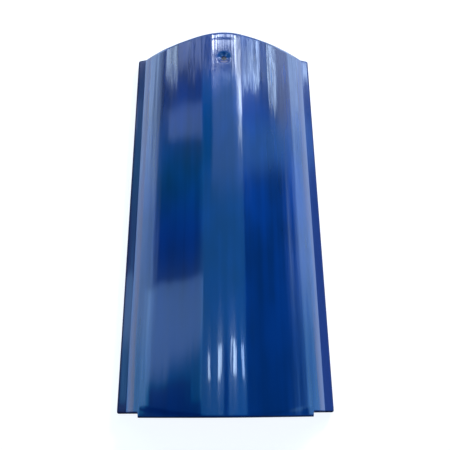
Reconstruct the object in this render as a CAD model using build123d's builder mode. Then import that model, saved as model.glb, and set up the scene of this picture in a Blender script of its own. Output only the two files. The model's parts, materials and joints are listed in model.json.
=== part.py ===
"""Glazed clay verge tile, pressed and fired as one piece.

An arched cover tile: a rounded crest runs into two curved flanks, and each flank ends in a narrow
flat margin that stands on a flat foot. The hollow below straddles the edge of the roof. The head has
a shallow sunk pad with a dished nail hole, and the middle of the tail stands a little proud of the
two margins. Beside the crest, the weather face ends on a slant a little above that tongue.

Frame: X across the tile, +Y towards the head, +Z up, in millimetres. The origin lies on the ground
plane, below the middle of the tile.
"""

import os
from math import atan2, cos, degrees, hypot, radians, sin, tan

from build123d import *

# Overall size
LENGTH = 400.0
WIDTH = 203.0
HEIGHT = 59.0

# Section of the arch
WALL = 11.0
CREST_RADIUS = 62.0
CREST_TURN = 21.0  # degrees that the crest arc turns on each side

# Flat margin along each long edge
MARGIN_WIDTH = 9.0
MARGIN_SLOPE = 16.0  # degrees below level
MARGIN_EDGE = 9.0  # height of the outer edge above the ground
CREASE_FILLET = 3.0  # where the flank runs out into the margin
MARGIN_FILLET = 3.0  # upper outer corner of the margin
FOOT_FILLET = 1.0  # lower outer corner of the margin

# Tail, whose middle laps over the tile below
TONGUE_WIDTH = 160.0
TONGUE_PROUD = 3.5

# Rebate at the tail, where the weather face leans out over the tongue
REBATE_DEPTH = 1.5
REBATE_SLANT = 14.0  # degrees that the end of the weather face leans

# Nailing pad at the head
PAD_WIDTH = 34.0
PAD_LENGTH = 51.0
PAD_FROM_HEAD = 9.0
PAD_DEPTH = 0.8
PAD_CORNER = 4.0

# Nail hole in the middle of the pad
NAIL_DIAMETER = 6.0
DISH_DIAMETER = 16.0
DISH_ANGLE = 136.0

# Rounding of the weather edge at both ends
END_FILLET = 2.0

# Half of the section, worked out from the crest and the crease beside the margin
half_width = WIDTH / 2
crease_x = half_width - MARGIN_WIDTH
crease_z = MARGIN_EDGE + MARGIN_WIDTH * tan(radians(MARGIN_SLOPE))
crest_end_x = CREST_RADIUS * sin(radians(CREST_TURN))
crest_end_z = HEIGHT - CREST_RADIUS * (1 - cos(radians(CREST_TURN)))
flank_run = crease_x - crest_end_x
flank_drop = crest_end_z - crease_z
flank_turn = 2 * (degrees(atan2(flank_drop, flank_run)) - CREST_TURN)
flank_radius = hypot(flank_run, flank_drop) / (2 * sin(radians(flank_turn / 2)))

head_y = LENGTH / 2
tail_y = -LENGTH / 2
pad_y = head_y - PAD_FROM_HEAD - PAD_LENGTH / 2
above = HEIGHT + WALL  # a level clear of the whole tile
section_plane = Plane.XZ.offset(-head_y)  # the head's end, from which the section runs to the tail


def arch(inset):
    """Half of the arched line, that far below the weather face: the crest arc, then the flank arc."""
    crest = JernArc((0, HEIGHT - inset), (1, 0), CREST_RADIUS - inset, -CREST_TURN)
    return JernArc(crest @ 1, crest % 1, flank_radius - inset, -flank_turn)


def over_arch(inset):
    """All that lies over the arched line, that far below the weather face, from the head to the tail."""
    with BuildPart() as over:
        with BuildSketch(section_plane):
            with BuildLine():
                lowered = arch(inset)
                Polyline(lowered @ 1, (crease_x, above), (0, above))
                mirror(about=Plane.YZ)
            make_face()
        extrude(amount=LENGTH)
    return over.part


# What the sunk pad takes away: a rectangle with round corners, down to a lowered arch
with BuildPart() as pad_cutter:
    add(over_arch(PAD_DEPTH))
    with BuildSketch(Plane.XY.offset(above)):
        with Locations((0, pad_y)):
            RectangleRounded(PAD_WIDTH, PAD_LENGTH, PAD_CORNER)
    extrude(amount=-above, mode=Mode.INTERSECT)

# What the rebate takes away: a wedge from the crest's end down over the tongue, to a lowered arch
with BuildPart() as rebate_cutter:
    add(over_arch(REBATE_DEPTH))
    with BuildSketch(Plane.YZ.offset(-TONGUE_WIDTH / 2)):
        with BuildLine():
            lean = HEIGHT * tan(radians(REBATE_SLANT))
            Polyline((tail_y, HEIGHT), (tail_y + lean, 0), (tail_y, 0), close=True)
        make_face()
    extrude(amount=TONGUE_WIDTH, mode=Mode.INTERSECT)

with BuildPart() as verge_tile:
    # Weather face, margins and feet, still filled below
    with BuildSketch(section_plane) as section:
        with BuildLine():
            weather_face = arch(0)
            Polyline(weather_face @ 1, (half_width, MARGIN_EDGE), (half_width, 0), (0, 0))
            mirror(about=Plane.YZ)
        make_face()
        columns = section.vertices().group_by(Axis.X)
        outer_corners = (columns[0] + columns[-1]).group_by(Axis.Y)
        creases = columns[1] + columns[-2]
        fillet(outer_corners[-1], MARGIN_FILLET)
        fillet(outer_corners[0], FOOT_FILLET)
        fillet(creases, CREASE_FILLET)
    extrude(amount=LENGTH)

    # Tail ends of the two margins, set back from the tongue between them
    side_width = half_width - TONGUE_WIDTH / 2
    with BuildSketch(Plane.XY):
        with Locations((0, tail_y + TONGUE_PROUD / 2)):
            with GridLocations(TONGUE_WIDTH + side_width, 0, 2, 1):
                Rectangle(side_width, TONGUE_PROUD)
    extrude(amount=above, mode=Mode.SUBTRACT)

    # Rounded weather edges of both ends, all but the edges on the ground and in the tail's two steps
    for end in verge_tile.faces().filter_by(Axis.Y).group_by(Axis.Y):
        rims = end.edges().filter_by(lambda edge: edge.bounding_box().min.Z > 0)
        in_steps = rims.filter_by(Axis.Z).filter_by(lambda edge: abs(edge.center().X) < crease_x)
        fillet(rims - in_steps, END_FILLET)

    # Hollow below, with walls of even thickness that run straight out past the ground
    with BuildSketch(section_plane):
        with BuildLine():
            soffit = arch(WALL)
            run_out = PolarLine(soffit @ 1, above, direction=soffit % 1)
            Line(run_out @ 1, (0, (run_out @ 1).Y))
            mirror(about=Plane.YZ)
        make_face()
    extrude(amount=LENGTH, mode=Mode.SUBTRACT)

    # Rebate at the tail, nailing pad at the head and the nail hole in the pad's middle
    add([rebate_cutter.part, pad_cutter.part], mode=Mode.SUBTRACT)
    with Locations((0, pad_y, HEIGHT - PAD_DEPTH)):
        CounterSinkHole(NAIL_DIAMETER / 2, DISH_DIAMETER / 2, counter_sink_angle=DISH_ANGLE)

verge_tile.part.label = "verge_tile"
os.makedirs("parts", exist_ok=True)
export_step(verge_tile.part, "parts/verge_tile.step")
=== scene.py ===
"""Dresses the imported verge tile: a poured blue glaze over fired clay, lying in a plain studio.

Lengths are millimetres until a mesh is written, where they become metres. X runs across the tile,
+Y towards its head and +Z up, as in the frame.
"""

import json
import logging
from dataclasses import dataclass
from enum import IntEnum
from math import atan2, cos, hypot, radians, sin, tan

import bpy
import numpy as np
from mathutils import Matrix, Vector

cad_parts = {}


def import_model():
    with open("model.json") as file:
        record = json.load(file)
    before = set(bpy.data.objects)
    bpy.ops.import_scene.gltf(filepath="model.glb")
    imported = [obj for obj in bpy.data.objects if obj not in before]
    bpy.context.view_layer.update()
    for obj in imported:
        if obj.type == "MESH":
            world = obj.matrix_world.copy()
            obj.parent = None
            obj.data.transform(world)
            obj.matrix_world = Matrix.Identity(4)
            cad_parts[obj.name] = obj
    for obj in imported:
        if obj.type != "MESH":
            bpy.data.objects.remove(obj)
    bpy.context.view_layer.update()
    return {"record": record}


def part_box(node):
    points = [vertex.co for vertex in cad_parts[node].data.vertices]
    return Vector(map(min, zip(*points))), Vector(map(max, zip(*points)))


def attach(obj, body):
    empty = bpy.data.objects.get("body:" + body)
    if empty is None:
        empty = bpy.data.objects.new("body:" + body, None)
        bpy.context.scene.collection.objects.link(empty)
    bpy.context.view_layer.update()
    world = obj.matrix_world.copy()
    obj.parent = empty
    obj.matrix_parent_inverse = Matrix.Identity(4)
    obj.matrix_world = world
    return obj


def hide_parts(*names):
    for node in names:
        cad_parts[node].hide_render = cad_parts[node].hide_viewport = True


LOG = logging.getLogger("verge_tile")
MM = 0.001
TINY = 1e-6

Pair = tuple[float, float]
Triple = tuple[float, float, float]
Value = float | bpy.types.NodeSocket


class Skin(IntEnum):
    """The finishes of the tile, by the place of their material on the mesh."""

    GLAZED = 0
    BARE = 1
    THIN = 2


def stations(start: float, stretches: list[tuple[float, int]]) -> np.ndarray:
    """Spaces points along a line, evenly inside each stretch.

    Args:
        start: where the line starts.
        stretches: for each stretch, where it ends and how many steps it has.

    Returns:
        The places of all points, both ends included.
    """
    spans = [np.array([start])]
    for end, steps in stretches:
        spans.append(np.linspace(spans[-1][-1], end, steps + 1)[1:])
    return np.concatenate(spans)


def smooth(value: np.ndarray, low: float, high: float) -> np.ndarray:
    """Rises from 0 at low to 1 at high, along 3t^2 - 2t^3."""
    share = np.clip((value - low) / (high - low), 0.0, 1.0)
    return share * share * (3.0 - 2.0 * share)


@dataclass(frozen=True)
class NodeBoard:
    """A node tree, with short calls that each add one node and give back its output."""

    tree: bpy.types.NodeTree

    def add(self, kind: str, **settings: object) -> bpy.types.Node:
        """Adds a node.

        Args:
            kind: the node's type name.
            settings: properties of the node.

        Returns:
            The new node.
        """
        node = self.tree.nodes.new(kind)
        for name, value in settings.items():
            setattr(node, name, value)
        return node

    def plug(self, socket: bpy.types.NodeSocket, value: object) -> None:
        """Links an output to a socket, or sets the socket to a plain value.

        Args:
            socket: the input that is fed.
            value: the output, or the plain value.
        """
        if isinstance(value, bpy.types.NodeSocket):
            self.tree.links.new(value, socket)
        else:
            socket.default_value = value

    def math(self, operation: str, first: Value, second: Value = 0.0) -> bpy.types.NodeSocket:
        """Works out one sum.

        Args:
            operation: the Math node's operation.
            first: the first operand.
            second: the second operand, where the operation has one.

        Returns:
            The result.
        """
        node = self.add("ShaderNodeMath", operation=operation)
        self.plug(node.inputs[0], first)
        self.plug(node.inputs[1], second)
        return node.outputs[0]

    def vector(self, operation: str, first: object, second: object) -> bpy.types.NodeSocket:
        """Works out one sum on colours or vectors.

        Args:
            operation: the Vector Math node's operation.
            first: the first operand.
            second: the second operand, which is a plain number where the operation scales.

        Returns:
            The result.
        """
        node = self.add("ShaderNodeVectorMath", operation=operation)
        self.plug(node.inputs[0], first)
        self.plug(node.inputs["Scale" if operation == "SCALE" else 1], second)
        return node.outputs[0]

    def ramp(self, value: Value, low: float, high: float, start: float = 0.0,
             end: float = 1.0) -> bpy.types.NodeSocket:
        """Takes a value smoothly from start, at low, to end, at high.

        Args:
            value: the value that is mapped.
            low: where the rise starts.
            high: where the rise ends.
            start: the result at low and below.
            end: the result at high and above.

        Returns:
            The mapped value.
        """
        node = self.add("ShaderNodeMapRange", interpolation_type="SMOOTHSTEP")
        for socket, setting in zip(node.inputs, (value, low, high, start, end)):
            self.plug(socket, setting)
        return node.outputs[0]

    def noise(self, place: bpy.types.NodeSocket, stretch: Triple,
              detail: float = 2.0) -> bpy.types.NodeSocket:
        """Fractal noise, with its grains stretched along the axes.

        Args:
            place: the coordinates that the noise is read at.
            stretch: the size of a grain along each axis, in the units of those coordinates.
            detail: the number of finer octaves.

        Returns:
            The noise, from 0 to 1.
        """
        mapping = self.add("ShaderNodeMapping")
        self.plug(mapping.inputs["Vector"], place)
        self.plug(mapping.inputs["Scale"], tuple(1.0 / size for size in stretch))
        node = self.add("ShaderNodeTexNoise")
        self.plug(node.inputs["Vector"], mapping.outputs[0])
        self.plug(node.inputs["Scale"], 1.0)
        self.plug(node.inputs["Detail"], detail)
        return node.outputs[0]

    def blend(self, share: Value, first: object, second: object) -> bpy.types.NodeSocket:
        """Mixes two colours.

        Args:
            share: how much of the second colour there is.
            first: the first colour, as an output or as red, green, blue and alpha.
            second: the second colour, in the same way.

        Returns:
            The mixed colour.
        """
        node = self.add("ShaderNodeMix", data_type="RGBA")
        self.plug(node.inputs["Factor"], share)
        self.plug(node.inputs[6], first)
        self.plug(node.inputs[7], second)
        return node.outputs[2]


def opaque(colour: Triple) -> tuple[float, float, float, float]:
    """The colour with full alpha."""
    return (*colour, 1.0)


def new_material(name: str) -> tuple[bpy.types.Material, NodeBoard, bpy.types.Node]:
    """Starts a material.

    Args:
        name: the material's name.

    Returns:
        The material, its node board and its surface shader.
    """
    material = bpy.data.materials.new(name)
    material.use_nodes = True
    return material, NodeBoard(material.node_tree), material.node_tree.nodes["Principled BSDF"]


@dataclass(frozen=True)
class BlueGlaze:
    """A thick cobalt glaze: glass over colour, clouded, streaked along the tile and thin on its rims.

    Its colour also holds painted shade, on the rims and towards the tail, and a painted reflection in the
    creases.
    Sizes of grains, places along the tile and heights are in metres, as in the mesh.
    """

    name: str = "blue_glaze"
    deep: Triple = (0.0005, 0.021, 0.098)
    body: Triple = (0.0006, 0.037, 0.205)
    # Painted shade: near-black on the tail's rounded end and round the margins' outer edges
    rim: Triple = (0.0015, 0.005, 0.022)
    # The margins' two tones: greyer on the left, bluer on the right
    left_margin_tone: Triple = (0.023, 0.029, 0.088)
    right_margin_tone: Triple = (0.02, 0.046, 0.175)
    margin_tone_turn: Pair = (-0.05, 0.05)
    # Painted reflection: a pale band of light along each crease
    crease_sheen: Triple = (0.06, 0.105, 0.25)
    streak: Triple = (0.006, 0.22, 0.05)
    cloud: Triple = (0.04, 0.09, 0.04)
    streak_share: float = 0.3
    depth_range: Pair = (0.32, 0.68)
    # Painted shade: the blue darkens towards the tail, where less light falls
    tail_shade: Pair = (-0.18, 0.02)
    tail_shade_depth: float = 0.6
    drag: Triple = (0.0028, 0.05, 0.0028)
    drag_height: float = 0.00005
    roughness: float = 0.16
    refraction: float = 1.55
    coat: float = 1.0
    coat_roughness: float = 0.035
    coat_refraction: float = 1.6

    def material(self) -> bpy.types.Material:
        """Makes the glaze.

        Clouds and streaks along Y deepen its blue, and painted shade darkens it towards the tail. A
        painted reflection makes it pale in the creases, the margins are greyer, bluer on the right one,
        and painted shade makes it near-black where the glaze is thin.

        Returns:
            The material.
        """
        material, board, shader = new_material(self.name)
        place = board.add("ShaderNodeTexCoord").outputs["Object"]
        film_and_shade = board.add("ShaderNodeAttribute", attribute_name="film_and_shade").outputs["Fac"]
        split = board.add("ShaderNodeSeparateXYZ")
        board.plug(split.inputs[0], place)
        streaks = board.noise(place, self.streak)
        clouds = board.noise(place, self.cloud)
        depth = board.math("MULTIPLY_ADD", streaks, self.streak_share)
        board.plug(depth.node.inputs[2], board.math("MULTIPLY", clouds, 1.0 - self.streak_share))
        # Painted shade: towards the tail the blue is drawn down to the deep tone
        tail_shading = board.ramp(split.outputs["Y"], *self.tail_shade, 1.0 - self.tail_shade_depth, 1.0)
        full = board.math("MULTIPLY", board.ramp(depth, *self.depth_range), tail_shading)
        blue = board.blend(full, opaque(self.deep), opaque(self.body))
        margin = board.add("ShaderNodeAttribute", attribute_name="margin").outputs["Fac"]
        crease = board.add("ShaderNodeAttribute", attribute_name="crease").outputs["Fac"]
        # Painted reflection: the creases turn to a pale band of light
        crease_sheened = board.blend(crease, blue, opaque(self.crease_sheen))
        # The margins are greyer, bluer on the right one than on the left
        to_right = board.ramp(split.outputs["X"], *self.margin_tone_turn)
        margin_tone = board.blend(to_right, opaque(self.left_margin_tone), opaque(self.right_margin_tone))
        margin_toned = board.blend(margin, crease_sheened, margin_tone)
        # Painted shade: where the glaze is thin, the rims are drawn down to near-black
        colour = board.blend(film_and_shade, opaque(self.rim), margin_toned)
        bump = board.add("ShaderNodeBump")
        board.plug(bump.inputs["Distance"], self.drag_height)
        board.plug(bump.inputs["Height"], board.noise(place, self.drag))
        board.plug(shader.inputs["Base Color"], colour)
        board.plug(shader.inputs["Normal"], bump.outputs[0])
        board.plug(shader.inputs["Coat Normal"], bump.outputs[0])
        board.plug(shader.inputs["Roughness"], self.roughness)
        board.plug(shader.inputs["IOR"], self.refraction)
        board.plug(shader.inputs["Coat Weight"], self.coat)
        board.plug(shader.inputs["Coat Roughness"], self.coat_roughness)
        board.plug(shader.inputs["Coat IOR"], self.coat_refraction)
        return material


# The glaze on the rims, too thin to shine as glass does; its near-black colour there is painted shade
THIN_GLAZE = BlueGlaze(name="thin_glaze", roughness=0.5, refraction=1.15, coat=0.0)


@dataclass(frozen=True)
class BareClay:
    """Fired clay with no glaze: matt and sandy, with darker specks. Lengths are in metres."""

    pale: Triple = (0.42, 0.24, 0.15)
    dark: Triple = (0.25, 0.12, 0.07)
    speck: Triple = (0.09, 0.05, 0.035)
    patch: Triple = (0.03, 0.09, 0.03)
    grit: Triple = (0.0012, 0.0016, 0.0012)
    patch_detail: float = 4.0
    grit_detail: float = 3.0
    patch_range: Pair = (0.35, 0.65)
    speck_range: Pair = (0.62, 0.72)
    roughness: float = 0.86
    grit_height: float = 0.00025

    def material(self) -> bpy.types.Material:
        """Makes the clay: broad patches of two tones, with the peaks of a fine grit as specks.

        Returns:
            The material.
        """
        material, board, shader = new_material("bare_clay")
        place = board.add("ShaderNodeTexCoord").outputs["Object"]
        patches = board.noise(place, self.patch, self.patch_detail)
        grit = board.noise(place, self.grit, self.grit_detail)
        pale_share = board.ramp(patches, *self.patch_range)
        tone = board.blend(pale_share, opaque(self.dark), opaque(self.pale))
        colour = board.blend(board.ramp(grit, *self.speck_range), tone, opaque(self.speck))
        bump = board.add("ShaderNodeBump")
        board.plug(bump.inputs["Distance"], self.grit_height)
        board.plug(bump.inputs["Height"], grit)
        board.plug(shader.inputs["Base Color"], colour)
        board.plug(shader.inputs["Normal"], bump.outputs[0])
        board.plug(shader.inputs["Roughness"], self.roughness)
        return material


@dataclass(frozen=True)
class Line:
    """Half of a section line, from the crest outwards: arc length, place and heading below level."""

    along: np.ndarray
    across: np.ndarray
    up: np.ndarray
    heading: np.ndarray

    @classmethod
    def walk(cls, start: Pair, legs: list[Pair], pace: float = 0.02) -> "Line":
        """Walks a line whose heading turns evenly along each leg.

        The heading is a piecewise linear function of the arc length, and the place is the running sum
        of its cosine and, downwards, of its sine.

        Args:
            start: where the line starts, across and up.
            legs: for each leg, its length and how far it turns, in radians.
            pace: the step of the running sum.

        Returns:
            The line.
        """
        stops = np.cumsum([0.0] + [leg[0] for leg in legs])
        turned = np.cumsum([0.0] + [leg[1] for leg in legs])
        along = np.linspace(0.0, stops[-1], int(stops[-1] / pace) + 1)
        heading = np.interp(along, stops, turned)
        half_way = (heading[1:] + heading[:-1]) / 2
        steps = np.diff(along)
        across = start[0] + np.concatenate([[0.0], np.cumsum(np.cos(half_way) * steps)])
        up = start[1] - np.concatenate([[0.0], np.cumsum(np.sin(half_way) * steps)])
        return cls(along, across, up, heading)

    def at(self, along: np.ndarray) -> tuple[np.ndarray, np.ndarray, np.ndarray]:
        """Reads the line.

        Args:
            along: arc lengths from the crest.

        Returns:
            Across, up and heading there.
        """
        return tuple(np.interp(along, self.along, row) for row in (self.across, self.up, self.heading))

    def over(self, across: np.ndarray) -> tuple[np.ndarray, np.ndarray]:
        """Reads the line by the place across, as far as it widens.

        Args:
            across: distances from the middle plane.

        Returns:
            Arc length and height there.
        """
        widest = self.across.argmax()
        return tuple(np.interp(across, self.across[:widest], row[:widest])
                     for row in (self.along, self.up))


@dataclass(frozen=True)
class ArchSection:
    """The tile's section: a crest arc, two flank arcs, a margin and a foot, round an even wall."""

    width: float
    height: float
    wall: float = 11.0
    crest_radius: float = 62.0
    crest_turn: float = radians(21.0)
    margin_width: float = 9.0
    margin_slope: float = radians(16.0)
    margin_edge: float = 9.0
    crease_fillet: float = 3.0
    margin_fillet: float = 3.0
    foot_fillet: float = 1.0

    def flank(self) -> Pair:
        """Fits the flank arc, which runs on from the crest arc down to the crease.

        Returns:
            Its radius and its turn, in radians.
        """
        run = self.width / 2 - self.margin_width - self.crest_radius * sin(self.crest_turn)
        crest_end = self.height - self.crest_radius * (1 - cos(self.crest_turn))
        drop = crest_end - self.margin_edge - self.margin_width * tan(self.margin_slope)
        turn = 2 * (atan2(drop, run) - self.crest_turn)
        return hypot(run, drop) / (2 * sin(turn / 2)), turn

    def soffit(self) -> Line:
        """Draws the inner line: both arcs set in by the wall, then straight down to the ground.

        Returns:
            The line.
        """
        radius, turn = self.flank()
        arcs = [
            ((self.crest_radius - self.wall) * self.crest_turn, self.crest_turn),
            ((radius - self.wall) * turn, turn),
        ]
        crown = (0.0, self.height - self.wall)
        steepest = self.crest_turn + turn
        to_ground = Line.walk(crown, arcs).up[-1] / sin(steepest)
        return Line.walk(crown, [*arcs, (to_ground, 0.0)])

    def legs(self) -> dict[str, Pair]:
        """Works out the legs of the weather line, with its fillets as arcs between straight legs.

        Returns:
            The legs in order, each with its length and its turn in radians.
        """
        radius, turn = self.flank()
        crease_turn = self.crest_turn + turn - self.margin_slope
        corner_turn = radians(90.0) - self.margin_slope
        crease_reach = self.crease_fillet * tan(crease_turn / 2)
        corner_reach = self.margin_fillet * tan(corner_turn / 2)
        flank_turn = turn - crease_reach / radius
        foot_inner = self.soffit().across[-1]
        return {
            "crest": (self.crest_radius * self.crest_turn, self.crest_turn),
            "flank": (radius * flank_turn, flank_turn),
            "crease": (self.crease_fillet * crease_turn, crease_reach / radius - crease_turn),
            "margin": (self.margin_width / cos(self.margin_slope) - crease_reach - corner_reach, 0.0),
            "corner": (self.margin_fillet * corner_turn, corner_turn),
            "edge": (self.margin_edge - corner_reach - self.foot_fillet, 0.0),
            "foot_corner": (self.foot_fillet * radians(90.0), radians(90.0)),
            "foot": (self.width / 2 - self.foot_fillet - foot_inner, 0.0),
        }

    def ends(self) -> dict[str, float]:
        """Arc length from the crest to the end of each leg of the weather line."""
        return dict(zip(self.legs(), np.cumsum([length for length, _ in self.legs().values()])))

    def weather(self) -> Line:
        """The outer line, from the crest over flank, margin and edge to the foot's inner corner."""
        return Line.walk((0.0, self.height), list(self.legs().values()))


@dataclass(frozen=True)
class NailPad:
    """The sunk pad at the head, with a dished nail hole in its middle."""

    centre: float
    hole_radius: float
    width: float = 34.0
    length: float = 51.0
    depth: float = 0.07
    corner: float = 5.0
    lip: float = 4.5
    dish_radius: float = 8.0
    dish_depth: float = 1.7
    dish_softness: float = 0.6
    warp_reach: float = 9.0

    def warp(self, across: np.ndarray, along: np.ndarray) -> tuple[np.ndarray, np.ndarray]:
        """Bends a square grid round the hole.

        A point's square ring is the larger of its two offsets. Rings of the hole's size become
        circles, rings of the warp's reach stay square, and those between are a smooth mix.

        Args:
            across: X of the points.
            along: Y of the points.

        Returns:
            X and Y of the moved points.
        """
        offset = along - self.centre
        ring = np.maximum(np.abs(across), np.abs(offset))
        away = np.maximum(np.hypot(across, offset), TINY)
        keep = smooth(ring, self.hole_radius, self.warp_reach)
        scale = np.where(ring < self.warp_reach, keep + (1 - keep) * ring / away, 1.0)
        return across * scale, self.centre + offset * scale

    def relief(self, across: np.ndarray, along: np.ndarray) -> np.ndarray:
        """How far the weather face sinks.

        The pad is a smooth step of the signed distance to a rectangle with round corners, filled with
        glaze towards its lower end, and the dish is a cone round the hole with a soft brim.

        Args:
            across: X of the points.
            along: Y of the points.

        Returns:
            The depth of each point below the arch.
        """
        beyond_x = np.abs(across) - self.width / 2 + self.corner
        beyond_y = np.abs(along - self.centre) - self.length / 2 + self.corner
        outside = np.hypot(np.maximum(beyond_x, 0.0), np.maximum(beyond_y, 0.0))
        distance = outside + np.minimum(np.maximum(beyond_x, beyond_y), 0.0) - self.corner
        run_out = smooth(along, self.centre - self.length / 2, self.centre)
        pad = self.depth * run_out * smooth(-distance, -self.lip / 2, self.lip / 2)
        away = np.hypot(across, along - self.centre)
        share = np.clip((self.dish_radius - away) / (self.dish_radius - self.hole_radius), 0.0, 1.0)
        soft = self.dish_softness
        return pad + self.dish_depth * ((1 - soft) * share + soft * smooth(share, 0.0, 1.0))


@dataclass(frozen=True)
class GlazeWaves:
    """The faint ripples that the poured glaze leaves along the tile."""

    seed: int = 7
    count: int = 11
    shortest: float = 5.0
    longest: float = 60.0
    steepness: float = 0.009
    wander: float = 0.6
    drift: Pair = (140.0, 420.0)

    def height(self, around: np.ndarray, along: np.ndarray) -> np.ndarray:
        """Sums sine ripples over the arch.

        Each runs along the tile, with a wavelength across it between shortest and longest, an
        amplitude in step with that wavelength, and a phase that wanders slowly along Y.

        Args:
            around: signed arc length from the crest.
            along: Y of the points.

        Returns:
            The height of the glaze above the arch.
        """
        draw = np.random.default_rng(self.seed)
        total = np.zeros(np.broadcast(around, along).shape)
        for length in np.geomspace(self.shortest, self.longest, self.count):
            phase, slow_phase = draw.uniform(0.0, 2 * np.pi, 2)
            slow = draw.uniform(*self.drift)
            sway = self.wander * np.sin(2 * np.pi * along / slow + slow_phase)
            height = self.steepness * length / (2 * np.pi)
            total += height * np.sin(2 * np.pi * around / length + phase + sway)
        return total


@dataclass(frozen=True)
class VergeTile:
    """The glazed tile as one closed mesh: a ring of points round the section, carried along Y."""

    length: float
    section: ArchSection
    pad: NailPad
    waves: GlazeWaves
    tongue_width: float = 160.0
    tongue_proud: float = 3.5
    step_width: float = 0.4
    step_fade: float = 30.0
    rebate_depth: float = 0.5
    rebate_slant: float = radians(14.0)
    rebate_lip: float = 5.0
    rebate_side: float = 12.0
    # How far up the flank the painted reflection along each crease reaches
    crease_sheen_reach: float = 10.0
    thin_film: float = 0.93
    weather_round: float = 2.0
    soffit_round: float = 0.8
    foot_round: float = 0.15
    foot_rise: float = 6.0
    upright_fade: Pair = (1.0, 11.0)
    sharp_angle: float = radians(38.0)
    round_steps: int = 5
    step_band: float = 1.0
    tail_gap: float = 0.6
    rebate_gap: float = 1.0
    head_gap: float = 4.0
    shared_steps: tuple[int, ...] = (12, 4, 8, 48, 8)
    outer_steps: tuple[int, ...] = (6, 6, 6, 8, 4, 4, 6)
    row_steps: tuple[int, ...] = (13, 90, 8, 6, 24, 6, 8, 4)

    def shared_columns(self) -> np.ndarray:
        """Spaces the columns that lie the same above and below.

        Returns:
            X of each, from the crest over the hole, the pad's lip and the tongue to just past its side.
        """
        brim = self.pad.width / 2
        step = self.tongue_width / 2
        stops = (
            self.pad.warp_reach,
            brim - self.pad.lip,
            brim + self.pad.lip,
            step - self.step_band,
            step + self.step_band,
        )
        return stations(0.0, list(zip(stops, self.shared_steps)))

    def weather_columns(self, line: Line) -> np.ndarray:
        """Spaces the columns of the weather face.

        Args:
            line: the weather line.

        Returns:
            Arc lengths from the crest to the inner corner of the foot.
        """
        shared, _ = line.over(self.shared_columns())
        _, *outer_ends = self.section.ends().values()
        outer = stations(shared[-1], list(zip(outer_ends, self.outer_steps)))
        return np.concatenate([shared[:-1], outer])

    def rows(self) -> tuple[np.ndarray, np.ndarray]:
        """Spaces the rows from tail to head.

        Returns:
            Y of each row, and the angle by which it goes round the rim of an end.
        """
        half = self.length / 2
        pad_low = self.pad.centre - self.pad.length / 2
        pad_high = self.pad.centre + self.pad.length / 2
        stops = (
            -half + self.rebate_reach() + self.rebate_gap,
            pad_low - self.pad.lip,
            pad_low + self.pad.lip,
            self.pad.centre - self.pad.warp_reach,
            self.pad.centre + self.pad.warp_reach,
            pad_high - self.pad.lip,
            pad_high + self.pad.lip,
            half - self.head_gap,
        )
        start = -half + self.weather_round + self.tail_gap
        body = stations(start, list(zip(stops, self.row_steps)))
        turn = np.linspace(radians(90.0), 0.0, self.round_steps + 1)
        angle = np.concatenate([turn, np.zeros(len(body)), turn[::-1]])
        ends = np.full(self.round_steps + 1, half)
        return np.concatenate([-ends, body, ends]), angle

    def rebate_reach(self) -> float:
        """How far the rebate runs up the tile beside the tongue's corners."""
        _, corner = self.section.weather().over(self.tongue_width / 2)
        return (self.section.height - corner) * tan(self.rebate_slant)

    def rebate(self, across: np.ndarray, along: np.ndarray, up: np.ndarray) -> np.ndarray:
        """Sinks the weather face beside the crest at the tail.

        The face stops at a plane that leans out from the crest's end, and the sunk part is a smooth
        step of the distance to that plane, inside the tongue's width and softened by the glaze.

        Args:
            across: X of the points.
            along: Y of the points.
            up: Z of the points.

        Returns:
            The depth of each point below the arch.
        """
        side = self.tongue_width / 2
        lip = -self.length / 2 + (self.section.height - up) * tan(self.rebate_slant)
        inside = 1 - smooth(np.abs(across), side - self.rebate_side, side)
        below = smooth(lip - along, -self.rebate_lip / 2, self.rebate_lip / 2)
        return self.rebate_depth * inside * below

    def place(self, across: np.ndarray, up: np.ndarray, normal: np.ndarray,
              rounding: np.ndarray) -> tuple[np.ndarray, np.ndarray, np.ndarray]:
        """Carries a section line along the tile and rounds its two ends.

        At an end a point follows a quarter circle: it comes in from the rim by R(1 - cos a) along the
        wall's normal, and lies R(1 - sin a) short of the end. Over the tongue it comes in straight up
        or down instead, so that the tongue keeps its square corners.

        Args:
            across: X of the line's points.
            up: Z of the line's points.
            normal: X and Z of the outward normals.
            rounding: the radius R at each point.

        Returns:
            X, Y and Z, each with one row for each station along the tile.
        """
        rows, angle = self.rows()
        inset = rounding * (1 - np.cos(angle))[:, None]
        side = self.tongue_width / 2
        upright = 1 - smooth(np.abs(across), *(side + fade for fade in self.upright_fade))
        steep = np.where(upright > 0, normal[1], 1.0)
        x = across - normal[0] * inset * (1 - upright)
        z = up - inset * (normal[1] + upright * (1 / steep - normal[1]))
        at_end = np.abs(rows) == self.length / 2
        short = np.where(at_end[:, None], rounding * (1 - np.sin(angle))[:, None], 0.0)
        y = rows[:, None] - np.sign(rows)[:, None] * short
        past_side = smooth(np.abs(across), side - self.step_width / 2, side + self.step_width / 2)
        set_back = self.tongue_proud * past_side
        near_tail = 1 - smooth(y, -self.length / 2, -self.length / 2 + self.step_fade)
        return x, y + set_back * near_tail, z

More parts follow.
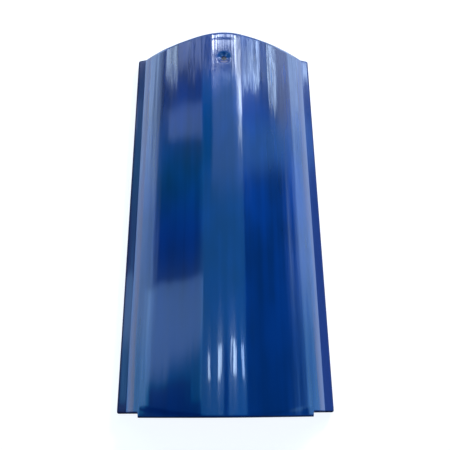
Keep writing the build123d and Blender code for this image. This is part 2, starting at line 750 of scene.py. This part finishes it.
    def weather_face(self) -> tuple[np.ndarray, dict[str, np.ndarray]]:
        """Builds the weather face from foot to foot.

        Returns:
            Its points, as rows by columns by XYZ, and three measures on them, each from 0 to 1: how full
            the glaze is, which where low also lets painted shade darken the rims, and how much it lies on
            a margin or takes the painted reflection near a crease.
        """
        line = self.section.weather()
        half_columns = self.weather_columns(line)
        around = np.concatenate([-half_columns[:0:-1], half_columns])
        side = np.sign(around)
        across, up, heading = line.at(np.abs(around))
        across, heading = across * side, heading * side
        normal = np.stack([np.sin(heading), np.cos(heading)])
        ends = self.section.ends()
        on_foot = smooth(np.abs(around), ends["corner"], ends["edge"])
        rounding = self.weather_round + (self.foot_round - self.weather_round) * on_foot
        x, y, z = self.place(across, up, normal, rounding)
        on_arch = np.abs(across) < self.tongue_width / 2
        warped_x, warped_y = self.pad.warp(x, y)
        _, arch_up = line.over(np.abs(warped_x))
        moved = on_arch & (np.hypot(warped_x - x, warped_y - y) > 0)
        z = np.where(moved, arch_up, z)
        x, y = np.where(moved, warped_x, x), np.where(moved, warped_y, y)
        off_margin = 1 - smooth(np.abs(around), ends["crease"], ends["margin"])
        rise = self.waves.height(around, y) * off_margin
        rise = rise - self.pad.relief(x, y) - self.rebate(x, y, z)
        points = np.stack([x + normal[0] * rise, y, z + normal[1] * rise], axis=-1)
        rows, angle = self.rows()
        on_corner = smooth(np.abs(around), ends["margin"], ends["corner"])
        # Low on the tail's rounded end and round the margins' outer edges: there the glaze is rough and
        # thin, and painted shade darkens it
        over_tail = np.where(rows < 0, (1 - np.sin(angle)) ** 2, 1.0)[:, None]
        film_and_shade = over_tail * (1 - on_corner)
        margin = smooth(np.abs(around), ends["flank"], ends["crease"])
        # Where the painted reflection lies: rising from the flank into the crease, gone on the margin
        to_crease = smooth(np.abs(around), ends["flank"] - self.crease_sheen_reach, ends["flank"])
        crease = to_crease * (1 - margin)
        everywhere = np.ones_like(film_and_shade)
        return points, {"film_and_shade": film_and_shade, "margin": margin * everywhere, "crease": crease * everywhere}

    def soffit_face(self) -> np.ndarray:
        """Builds the soffit from foot to foot, with as many columns as the weather face.

        Returns:
            Its points, as rows by columns by XYZ.
        """
        line = self.section.soffit()
        shared, _ = line.over(self.shared_columns())
        spare = len(self.weather_columns(self.section.weather())) - len(shared)
        outer = np.linspace(shared[-1], line.along[-1], spare + 1)[1:]
        half_columns = np.concatenate([shared, outer])
        around = np.concatenate([-half_columns[:0:-1], half_columns])
        side = np.sign(around)
        across, up, heading = line.at(np.abs(around))
        across, heading = across * side, heading * side
        normal = -np.stack([np.sin(heading), np.cos(heading)])
        on_foot = smooth(-up, -self.foot_rise, 0.0)
        rounding = self.soffit_round + (self.foot_round - self.soffit_round) * on_foot
        x, y, z = self.place(across, up, normal, rounding)
        warped_x, warped_y = self.pad.warp(x, y)
        moved = np.hypot(warped_x - x, warped_y - y) > 0
        _, arch_up = line.over(np.abs(warped_x))
        z = np.where(moved, arch_up, z)
        return np.stack([np.where(moved, warped_x, x), np.where(moved, warped_y, y), z], axis=-1)

    def in_hole(self) -> tuple[np.ndarray, np.ndarray]:
        """Finds the square of the grid that the nail hole takes.

        Returns:
            The indices of its columns on one face and of its rows, borders included.
        """
        columns = self.shared_columns()
        half = np.flatnonzero(columns <= self.pad.hole_radius + TINY)
        crest = len(self.weather_columns(self.section.weather())) - 1
        rows, _ = self.rows()
        inside = np.abs(rows - self.pad.centre) <= self.pad.hole_radius + TINY
        return np.arange(crest - half[-1], crest + half[-1] + 1), np.flatnonzero(inside)

    def mesh(self) -> bpy.types.Mesh:
        """Joins both faces into one closed mesh.

        The weather columns, then the soffit columns in reverse, close to a ring. Each row's ring is
        joined to the next, the ends are closed column by column, and the two faces are joined round
        the nail hole.

        Returns:
            The mesh, in metres, with its three finishes told apart and, as attributes, the measures that
            set the glaze's colour, its painted shade and painted reflection among them.
        """
        weather, glaze = self.weather_face()
        soffit = self.soffit_face()
        rows, columns = glaze["film_and_shade"].shape
        ring = 2 * columns - 2
        points = np.concatenate([weather, soffit[:, -2:0:-1]], axis=1).reshape(-1, 3)
        soffit_cells = ((0, 0), (0, columns - 2))
        spread = {
            name: np.pad(values, soffit_cells, constant_values=float(name == "film_and_shade")).ravel()
            for name, values in glaze.items()
        }

        row = np.arange(rows - 1)[:, None]
        cell = np.arange(ring)[None, :]
        after = (cell + 1) % ring
        next_row = (row + 1) * ring
        corners = (row * ring + cell, row * ring + after, next_row + after, next_row + cell)
        quads = np.stack(np.broadcast_arrays(*corners), axis=-1)
        hole_columns, hole_rows = self.in_hole()
        under = ring - hole_columns[:0:-1]
        keep = np.ones((rows - 1, ring), bool)
        keep[hole_rows[0]:hole_rows[-1], hole_columns[0]:hole_columns[-1]] = False
        keep[hole_rows[0]:hole_rows[-1], under[0]:under[-1] + 1] = False
        edge_end = self.section.ends()["edge"]
        bare_from = int((self.weather_columns(self.section.weather()) >= edge_end).sum())
        is_bare = np.broadcast_to((cell < bare_from) | (cell >= columns - 1 - bare_from), keep.shape)

        above = np.arange(columns)
        below = np.where(above == columns - 1, above, (ring - above) % ring)
        end = np.stack([above[:-1], below[:-1], below[1:], above[1:]], axis=-1)[1:-1]
        tips = np.array([[above[0], below[1], above[1]], [above[-2], below[-2], above[-1]]])
        to_head = (rows - 1) * ring

        wide, high = len(hole_columns) - 1, len(hole_rows) - 1
        loop_row = np.concatenate([
            np.full(wide, hole_rows[0]), hole_rows[:-1],
            np.full(wide, hole_rows[-1]), hole_rows[:0:-1],
        ])
        loop_column = np.concatenate([
            hole_columns[:-1], np.full(high, hole_columns[-1]),
            hole_columns[:0:-1], np.full(high, hole_columns[0]),
        ])
        brim = loop_row * ring + loop_column
        foot = loop_row * ring + (ring - loop_column)
        wall = np.stack([brim, np.roll(brim, -1), np.roll(foot, -1), foot], axis=-1)

        fours = np.concatenate([quads[keep], end, end[:, ::-1] + to_head, wall])
        threes = np.concatenate([tips, tips[:, ::-1] + to_head])
        others = len(fours) + len(threes) - keep.sum()
        bare = np.concatenate([is_bare[keep], np.zeros(others, bool)])
        film_and_shade = np.concatenate([spread["film_and_shade"][faces].mean(axis=1) for faces in (fours, threes)])
        skins = np.where(bare, Skin.BARE, np.where(film_and_shade < self.thin_film, Skin.THIN, Skin.GLAZED))
        used = np.unique(fours)
        number = np.zeros(len(points), int)
        number[used] = np.arange(len(used))
        faces = number[fours].tolist() + number[threes].tolist()
        mesh = bpy.data.meshes.new("verge_tile_glazed")
        mesh.from_pydata((points[used] * MM).tolist(), [], faces)
        for name, values in spread.items():
            attribute = mesh.attributes.new(name, "FLOAT", "POINT")
            attribute.data.foreach_set("value", values[used].astype(np.float32))
        mesh.polygons.foreach_set("material_index", skins.astype(np.int32))
        mesh.shade_smooth()
        mesh.set_sharp_from_angle(angle=self.sharp_angle)
        return mesh

    def build(self) -> bpy.types.Object:
        """Makes the tile's object, dressed in its three finishes, in place of the plain node.

        Returns:
            The object.
        """
        tile = bpy.data.objects.new("glazed_tile", self.mesh())
        bpy.context.scene.collection.objects.link(tile)
        finishes = {
            Skin.GLAZED: BlueGlaze().material(),
            Skin.BARE: BareClay().material(),
            Skin.THIN: THIN_GLAZE.material(),
        }
        for skin in Skin:
            tile.data.materials.append(finishes[skin])
        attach(tile, "root")
        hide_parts("verge_tile")
        return tile


@dataclass(frozen=True)
class SoftPanel:
    """One soft patch of light in the studio, by the directions that it fills.

    The lateral angle is measured off the zenith across the tile, in degrees, right positive. The reach
    is the share of the direction that points towards the head, and grows by the lean for each degree.
    A glow below zero takes light away.
    """

    lateral: Pair
    reach: Pair
    glow: Triple
    fade: Pair = (5.0, 0.02)
    lean: float = 0.0

    def light(self, board: NodeBoard, angle: bpy.types.NodeSocket,
              reach: bpy.types.NodeSocket) -> bpy.types.NodeSocket:
        """Adds the patch to the world.

        Args:
            board: the world's nodes.
            angle: the lateral angle of the direction, in degrees.
            reach: the direction's share towards the head.

        Returns:
            The colour that the patch gives.
        """
        if self.lean:
            from_middle = board.math("SUBTRACT", angle, sum(self.lateral) / 2)
            reach = board.math("SUBTRACT", reach, board.math("MULTIPLY", from_middle, self.lean))
        share = self.window(board, angle, self.lateral, self.fade[0])
        length = self.window(board, reach, self.reach, self.fade[1])
        return board.vector("SCALE", self.glow, board.math("MULTIPLY", share, length))

    @staticmethod
    def window(board: NodeBoard, value: bpy.types.NodeSocket, ends: Pair,
               fade: float) -> bpy.types.NodeSocket:
        """Opens a smooth window on a value.

        Args:
            board: the world's nodes.
            value: the value that is looked at.
            ends: where the window opens and closes.
            fade: the width over which it does so.

        Returns:
            1 between the ends, fading to 0 outside them.
        """
        opened = board.ramp(value, ends[0] - fade / 2, ends[0] + fade / 2)
        closed = board.ramp(value, ends[1] - fade / 2, ends[1] + fade / 2, 1.0, 0.0)
        return board.math("MULTIPLY", opened, closed)


@dataclass(frozen=True)
class Studio:
    """A pale floor under a dim room with soft panels, and one large lamp beyond the head."""

    room: Triple = (0.0, 0.005, 0.02)
    edge_grain: Triple = (3.0, 0.5, 1.0)
    edge_wander: Pair = (-0.014, 0.014)
    slat_grain: Triple = (1.6, 0.1, 1.0)
    slat_light: Pair = (0.15, 2.0)
    side_grain: Triple = (0.9, 0.4, 1.0)
    side_light: Pair = (0.7, 1.35)
    noise_range: Pair = (0.3, 0.7)
    slat_range: Pair = (0.38, 0.62)
    backdrop: Triple = (1.0, 1.0, 1.0)
    backdrop_tail: Pair = (-0.6, -0.4)
    backdrop_head: Pair = (0.86, 0.94)
    backdrop_height: Pair = (0.08, 0.3)
    floor_size: float = 12000.0
    floor_gap: float = 0.2
    floor_colour: Triple = (0.8, 0.8, 0.8)
    floor_glow: Triple = (0.87, 0.9, 0.94)
    floor_mirrored: Triple = (0.64, 0.76, 0.96)
    floor_shade: float = 0.26
    lamp_place: Triple = (1320.0, 2530.0, 1350.0)
    lamp_size: float = 700.0
    lamp_power: float = 125.0

    def sides(self) -> list[SoftPanel]:
        """The low light that comes over the floor from both sides, stronger towards the head."""
        return [
            SoftPanel((-180.0, -81.0), (-0.4, 1.0), (0.28, 0.88, 1.75), (20.0, 0.2)),
            SoftPanel((-180.0, -81.0), (0.12, 1.0), (0.42, 0.38, 0.4), (20.0, 0.15)),
            SoftPanel((-180.0, -80.0), (0.45, 1.0), (0.4, 0.35, 0.3), (20.0, 0.3)),
            SoftPanel((80.0, 180.0), (-0.4, 1.0), (0.3, 0.88, 1.7), (14.0, 0.2)),
            SoftPanel((80.0, 180.0), (0.2, 1.0), (0.42, 0.32, 0.3), (14.0, 0.2)),
            SoftPanel((74.0, 180.0), (0.52, 1.0), (0.6, 0.6, 0.6), (6.0, 0.08)),
        ]

    def ceiling(self) -> list[SoftPanel]:
        """The dim blue ceiling over the crest, with a dark beam along it and five strip lamps."""
        return [
            SoftPanel((-41.0, 39.0), (-0.4, 0.6), (0.06, 0.38, 0.85), (11.0, 0.06)),
            SoftPanel((-22.0, 40.0), (0.42, 0.59), (0.2, 0.25, 0.5), (12.0, 0.08)),
            SoftPanel((-38.0, -24.0), (0.45, 0.57), (-0.05, -0.08, -0.2), (6.0, 0.05)),
            SoftPanel((-4.5, 5.0), (-0.4, 0.115), (-0.06, -0.34, -0.7), (3.0, 0.02)),
            SoftPanel((-29.3, -26.7), (0.058, 0.105), (4.8, 6.4, 8.4), (1.5, 0.014)),
            SoftPanel((-14.2, -8.0), (0.062, 0.115), (5.4, 7.3, 9.6), (1.5, 0.014)),
            SoftPanel((9.9, 12.4), (0.065, 0.13), (7.2, 9.6, 12.6), (1.4, 0.014)),
            SoftPanel((14.6, 17.2), (0.06, 0.115), (6.0, 8.0, 11.0), (1.4, 0.014)),
            SoftPanel((31.8, 34.0), (0.06, 0.122), (4.4, 6.6, 10.2), (1.4, 0.014)),
        ]

    def left_wall(self) -> list[SoftPanel]:
        """Two pale panels on the left, the nearer one shaded at its foot, and a dim wall between."""
        return [
            SoftPanel((-84.0, -37.0), (0.0, 0.238), (0.44, 0.84, 1.5), (6.0, 0.02), 0.0007),
            SoftPanel((-82.0, -38.0), (-0.4, 0.085), (-0.42, -0.54, -0.95), (8.0, 0.06), 0.0022),
            SoftPanel((-79.0, -53.0), (-0.4, 0.048), (-0.3, -0.34, -0.75), (8.0, 0.03), 0.0005),
            SoftPanel((-71.0, -42.0), (0.498, 0.55), (0.46, 0.68, 1.25), (5.0, 0.025), 0.0003),
            SoftPanel((-78.0, -38.0), (0.38, 0.51), (0.0, 0.2, 0.26), (6.0, 0.14)),
        ]

    def right_wall(self) -> list[SoftPanel]:
        """The one pale panel on the dark right wall."""
        return [SoftPanel((38.0, 77.0), (0.445, 0.522), (0.18, 0.54, 1.35), (9.0, 0.06))]

    def tail_side(self) -> list[SoftPanel]:
        """The soft boxes over the tail, which only show from the head."""
        return [
            SoftPanel((-38.0, -10.0), (-0.86, -0.5), (1.5, 1.6, 1.7), (8.0, 0.1)),
            SoftPanel((20.0, 60.0), (-0.8, -0.45), (0.5, 0.55, 0.6), (12.0, 0.16)),
        ]

    def window(self) -> list[SoftPanel]:
        """The bright window beyond the head, broken by its bars."""
        return [
            SoftPanel((-72.0, -63.0), (0.585, 0.66), (1.3, 1.7, 2.2), (3.0, 0.02)),
            SoftPanel((-63.0, -27.0), (0.6, 0.66), (0.5, 0.63, 1.0), (4.0, 0.025)),
            SoftPanel((-25.0, 29.0), (0.632, 0.665), (4.1, 4.8, 6.3), (5.0, 0.012)),
            SoftPanel((-25.0, 29.0), (0.588, 0.604), (0.9, 1.3, 2.1), (5.0, 0.014)),
            SoftPanel((-25.0, -13.0), (0.632, 0.665), (5.5, 6.0, 7.0), (3.0, 0.02)),
            SoftPanel((18.0, 31.0), (0.606, 0.665), (3.0, 3.5, 4.5), (3.0, 0.02)),
            SoftPanel((29.5, 40.5), (0.55, 0.665), (3.5, 4.0, 4.6), (3.0, 0.03)),
            SoftPanel((33.0, 38.0), (0.485, 0.56), (2.3, 2.8, 3.5), (2.5, 0.02)),
            SoftPanel((40.0, 76.0), (0.595, 0.665), (0.35, 0.42, 0.6), (4.0, 0.03)),
            SoftPanel((43.0, 57.0), (0.575, 0.665), (2.3, 3.1, 4.3), (4.0, 0.02)),
            SoftPanel((63.0, 72.0), (0.545, 0.665), (1.9, 2.5, 3.3), (3.0, 0.02)),
            SoftPanel((-90.0, 90.0), (0.65, 0.85), (0.5, 0.7, 1.1), (8.0, 0.02)),
        ]

    @staticmethod
    def added(board: NodeBoard, panels: list[SoftPanel], angle: bpy.types.NodeSocket,
              reach: bpy.types.NodeSocket, share: Value = 1.0) -> bpy.types.NodeSocket:
        """Adds up the light of panels.

        Args:
            board: the world's nodes.
            panels: the panels, which may be dark ones that take light away.
            angle: the lateral angle of the direction, in degrees.
            reach: the direction's share towards the head.
            share: how much of the sum comes through.

        Returns:
            The colour of the sum.
        """
        total: object = (0.0, 0.0, 0.0)
        for panel in panels:
            total = board.vector("ADD", total, panel.light(board, angle, reach))
        return board.vector("SCALE", total, share)

    def world(self) -> None:
        """Lights the room: a dim tone plus the panels, each a window of directions.

        The window beyond the head is ragged: noise over the lateral angle moves its lower edge and
        dims it in slats. A finer noise streaks the light from the sides. The eye sees a white backdrop,
        and so does the glaze wherever no panel stands before it.
        """
        world = bpy.data.worlds.new("studio")
        bpy.context.scene.world = world
        world.use_nodes = True
        board = NodeBoard(world.node_tree)
        split = board.add("ShaderNodeSeparateXYZ")
        board.plug(split.inputs[0], board.add("ShaderNodeTexCoord").outputs["Generated"])
        x, y, z = split.outputs
        angle = board.math("DEGREES", board.math("ARCTAN2", x, z))
        sky = board.add("ShaderNodeCombineXYZ")
        board.plug(sky.inputs[0], angle)
        board.plug(sky.inputs[1], y)
        edges = board.noise(sky.outputs[0], self.edge_grain)
        bars = board.noise(sky.outputs[0], self.slat_grain)
        bands = board.noise(sky.outputs[0], self.side_grain)
        ragged = board.ramp(edges, *self.noise_range, *self.edge_wander)
        slats = board.ramp(bars, *self.slat_range, *self.slat_light)
        streaks = board.ramp(bands, *self.noise_range, *self.side_light)
        steady = self.ceiling() + self.left_wall() + self.right_wall() + self.tail_side()
        total: object = self.room
        for light in (
            self.added(board, self.sides(), angle, y, streaks),
            self.added(board, steady, angle, y),
            self.added(board, self.window(), angle, board.math("ADD", y, ragged), slats),
        ):
            total = board.vector("ADD", total, light)
        lit = board.vector("MAXIMUM", total, (0.0, 0.0, 0.0))
        rays = board.add("ShaderNodeLightPath").outputs
        behind = board.math("MULTIPLY", board.ramp(y, *self.backdrop_tail, 1.0, 0.0),
                            board.ramp(z, *self.backdrop_height, 1.0, 0.0))
        clear = board.math("MAXIMUM", behind, board.ramp(y, *self.backdrop_head))
        mirrored = board.math("MAXIMUM", rays["Is Glossy Ray"], rays["Is Transmission Ray"])
        seen = board.math("MAXIMUM", rays["Is Camera Ray"], board.math("MULTIPLY", mirrored, clear))
        shown = board.blend(seen, lit, opaque(self.backdrop))
        board.plug(world.node_tree.nodes["Background"].inputs["Color"], shown)

    def floor(self) -> bpy.types.Object:
        """Lays the floor: white to the eye, cool and pale in reflections, and shaded by the tile.

        Returns:
            The floor.
        """
        half = self.floor_size / 2 * MM
        level = -self.floor_gap * MM
        mesh = bpy.data.meshes.new("floor")
        corners = [(x, y, level) for x, y in ((-half, -half), (half, -half), (half, half), (-half, half))]
        mesh.from_pydata(corners, [], [(0, 1, 2, 3)])
        material = bpy.data.materials.new("floor")
        material.use_nodes = True
        material.node_tree.nodes.clear()
        board = NodeBoard(material.node_tree)
        rays = board.add("ShaderNodeLightPath").outputs
        seen = board.math("MAXIMUM", rays["Is Camera Ray"], rays["Is Glossy Ray"])
        seen = board.math("MAXIMUM", seen, rays["Is Transmission Ray"])
        matt = board.add("ShaderNodeBsdfDiffuse")
        board.plug(matt.inputs["Color"], opaque(self.floor_colour))
        shade = board.add("ShaderNodeBsdfDiffuse")
        board.plug(shade.inputs["Color"], opaque((self.floor_shade,) * 3))
        glow = board.add("ShaderNodeEmission")
        tone = board.blend(rays["Is Glossy Ray"], opaque(self.floor_glow), opaque(self.floor_mirrored))
        board.plug(glow.inputs["Color"], tone)
        white = board.add("ShaderNodeAddShader")
        board.plug(white.inputs[0], glow.outputs[0])
        board.plug(white.inputs[1], shade.outputs[0])
        mixed = board.add("ShaderNodeMixShader")
        board.plug(mixed.inputs[0], seen)
        board.plug(mixed.inputs[1], matt.outputs[0])
        board.plug(mixed.inputs[2], white.outputs[0])
        board.plug(board.add("ShaderNodeOutputMaterial").inputs["Surface"], mixed.outputs[0])
        mesh.materials.append(material)
        floor = bpy.data.objects.new("floor", mesh)
        bpy.context.scene.collection.objects.link(floor)
        return floor

    def lamp(self) -> bpy.types.Object:
        """Hangs the large lamp, turned towards the tile and hidden from reflections.

        Returns:
            The lamp.
        """
        data = bpy.data.lights.new("soft_lamp", "AREA")
        data.shape = "SQUARE"
        data.size = self.lamp_size * MM
        data.energy = self.lamp_power
        lamp = bpy.data.objects.new("soft_lamp", data)
        lamp.location = Vector(self.lamp_place) * MM
        lamp.rotation_euler = (-lamp.location).to_track_quat("-Z", "Y").to_euler()
        lamp.visible_glossy = False
        bpy.context.scene.collection.objects.link(lamp)
        return lamp


@dataclass(frozen=True)
class PhotoCamera:
    """The camera above the tail, looking down and a little towards the head."""

    place: Triple = (-6.84, -194.54, 511.31)
    tilt: float = radians(20.19)
    pan: float = radians(2.29)
    roll: float = radians(2.04)
    sensor: float = 36.0
    lens: float = 40.48
    nearest: float = 10.0

    def build(self) -> bpy.types.Object:
        """Sets up the camera and makes it the scene's own.

        Returns:
            The camera.
        """
        data = bpy.data.cameras.new("camera")
        data.sensor_width = self.sensor
        data.lens = self.lens
        data.clip_start = self.nearest * MM
        lean = sin(self.tilt)
        ahead = Vector((lean * sin(self.pan), lean * cos(self.pan), -cos(self.tilt)))
        level = Vector((cos(self.pan), -sin(self.pan), 0.0))
        upright = level.cross(ahead)
        right = cos(self.roll) * level + sin(self.roll) * upright
        up = right.cross(ahead)
        camera = bpy.data.objects.new("camera", data)
        turn = Matrix((right, up, -ahead)).transposed().to_4x4()
        camera.matrix_world = Matrix.Translation(Vector(self.place) * MM) @ turn
        bpy.context.scene.collection.objects.link(camera)
        bpy.context.scene.camera = camera
        return camera


def main() -> None:
    """Builds the tile round the frame, then the studio and the camera, and logs each piece as it is put
    in place.
    """
    logging.basicConfig(level=logging.INFO)
    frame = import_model()
    low, high = (np.array(corner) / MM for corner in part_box("verge_tile"))
    size = high - low
    nail = next(mount for mount in frame["record"]["mounts"] if mount["name"] == "nail_hole")
    tile = VergeTile(
        length=size[1],
        section=ArchSection(width=size[0], height=size[2]),
        pad=NailPad(centre=nail["pos_m"][1] / MM, hole_radius=nail["dims"]["r_mm"]),
        waves=GlazeWaves(),
    )
    studio = Studio()
    bpy.context.scene.view_settings.view_transform = "Standard"
    for piece in (tile.build(), studio.floor(), studio.lamp(), PhotoCamera().build()):
        LOG.info("%s is in place", piece.name)
    studio.world()


if __name__ == "__main__":
    main()
